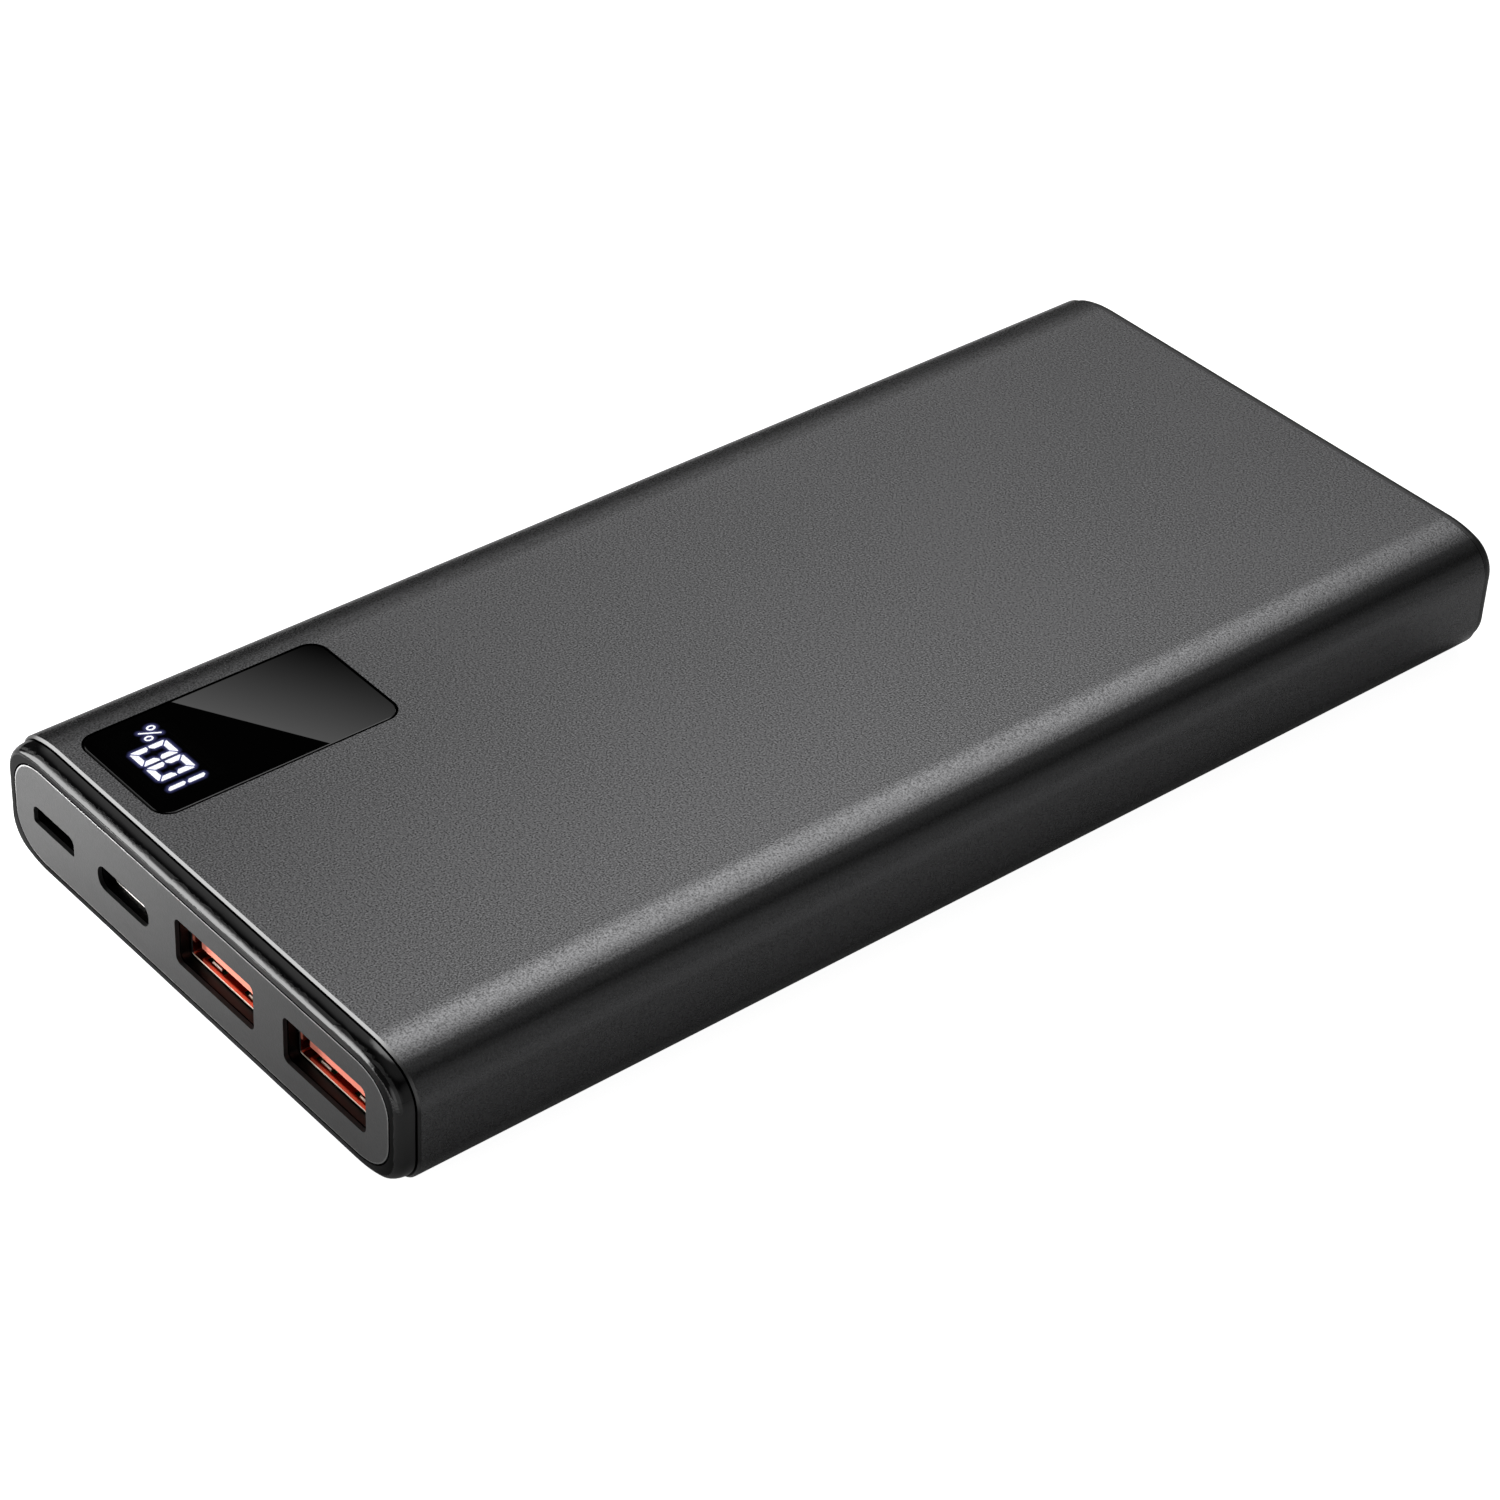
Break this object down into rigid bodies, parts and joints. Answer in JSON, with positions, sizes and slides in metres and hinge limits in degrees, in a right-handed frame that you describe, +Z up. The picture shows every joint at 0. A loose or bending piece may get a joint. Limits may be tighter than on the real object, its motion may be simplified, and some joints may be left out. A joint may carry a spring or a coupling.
{
  "type": "power bank",
  "caption": "Slim aluminium power bank with a display window, charging sockets in the front end and a sprung side button.",
  "frame": {"origin": "centre of the footprint, on the surface the bank lies on", "axes": "+Y from the port end to the rear end, +X across the ports to the right as the ports are faced, +Z up through the display window"},
  "size_m": [0.0692, 0.1498, 0.0156],
  "materials": {
    "anodised_sleeve": "fine bead-blasted dark grey anodising, bright chamfered front edge",
    "gloss_black": "polished black moulding",
    "panel_grey": "satin grey plate with a bright chamfered rim",
    "cap_black": "satin black moulding",
    "smoked_glass": "polished smoked glass, bevelled edge",
    "black_sheet": "black printed adhesive sheet",
    "lit_white": "translucent, lit from behind",
    "unlit_grey": "translucent, unlit",
    "led_chip": "moulded resin",
    "circuit_board": "solder-masked glass fibre",
    "ribbon_film": "polyimide film",
    "nickel_steel": "nickel-plated folded sheet",
    "orange_tongue": "bright moulding",
    "black_tongue": "moulded",
    "gold_contact": "gold-plated",
    "switch_black": "moulded",
    "tray_black": "moulded",
    "screw_steel": "zinc-plated",
    "ferrite": "pressed ferrite",
    "chip_black": "moulded epoxy",
    "ceramic_tan": "ceramic with tinned ends",
    "can_metal": "bright can",
    "cell_foil": "laminated foil pouch",
    "white_tape": "double-sided tape",
    "grey_foam": "closed-cell foam",
    "red_wire": "wire insulation",
    "black_wire": "wire insulation"
  },
  "bodies": {
    "case": {"bezel_screws": "screw_steel", "board_screws": "screw_steel", "cell_pad": "white_tape", "cell_tabs": "nickel_steel", "cell_tray": "tray_black", "ceramic_capacitors": "ceramic_tan", "chips": "chip_black", "display_board": "circuit_board", "display_leds": "led_chip", "display_reflector": "chip_black", "display_ribbon": "ribbon_film", "foam_pads": "grey_foam", "front_bezel": "gloss_black", "inductors": "ferrite", "lit_segments": "lit_white", "lower_cell": "cell_foil", "main_board": "circuit_board", "micro_usb_shell": "nickel_steel", "micro_usb_tongue": "black_tongue", "negative_lead": "black_wire", "panel_tape": "black_sheet", "port_panel": "panel_grey", "positive_lead": "red_wire", "protection_board": "circuit_board", "rear_cap": "cap_black", "rear_pad": "grey_foam", "sleeve": "anodised_sleeve", "solid_capacitors": "can_metal", "switch_dome": "nickel_steel", "tact_switch": "switch_black", "unlit_segments": "unlit_grey", "upper_cell": "cell_foil", "usb_a_contacts": "gold_contact", "usb_a_shells": "nickel_steel", "usb_a_tongues": "orange_tongue", "usb_c_contacts": "gold_contact", "usb_c_shell": "nickel_steel", "usb_c_tongue": "black_tongue", "window_lens": "smoked_glass", "window_mask": "black_sheet"},
    "button": {"side_button": "gloss_black", "switch_plunger": "switch_black"}
  },
  "joints": [
    {"name": "button_press", "type": "slide", "parent": "case", "child": "button", "axis": [1, 0, 0], "range_m": [0, 0.00035], "stiffness_N_per_m": 600, "springref_m": -0.0005}
  ]
}
